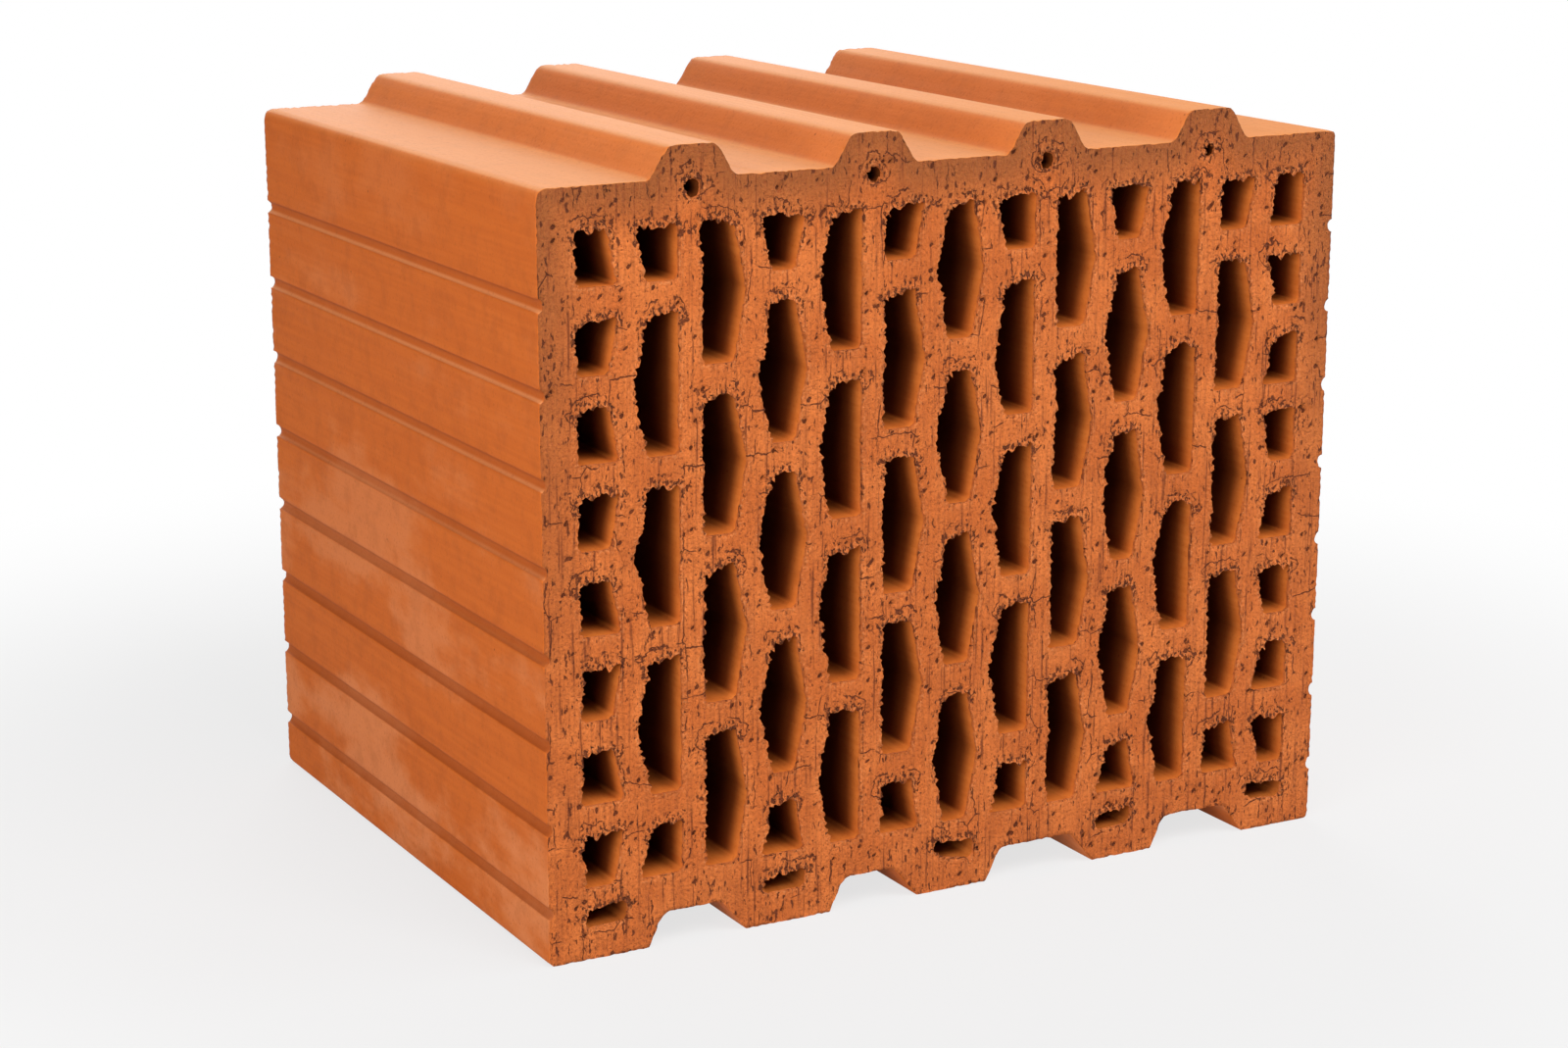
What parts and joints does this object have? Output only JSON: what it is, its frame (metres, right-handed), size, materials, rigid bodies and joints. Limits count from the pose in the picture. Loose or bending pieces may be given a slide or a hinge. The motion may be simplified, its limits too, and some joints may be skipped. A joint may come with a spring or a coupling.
{
  "type": "clay brick",
  "caption": "Fired clay hollow brick with staggered hexagonal cells right through, tongue ribs on one face and matching grooves in the opposite face.",
  "frame": {"origin": "middle of the block's footprint, on the level of the lands between the grooves", "axes": "+X across the perforated cut face, which is the thickness of the wall; +Y along the cells, the way the clay was extruded; +Z from the grooved face to the tongued face"},
  "size_m": [0.3, 0.238, 0.2584],
  "materials": {
    "fired_clay": "matt fired clay, smooth on the extruded faces and torn on the two cut faces"
  },
  "bodies": {
    "root": {"clay_block": "fired_clay"}
  },
  "joints": []
}
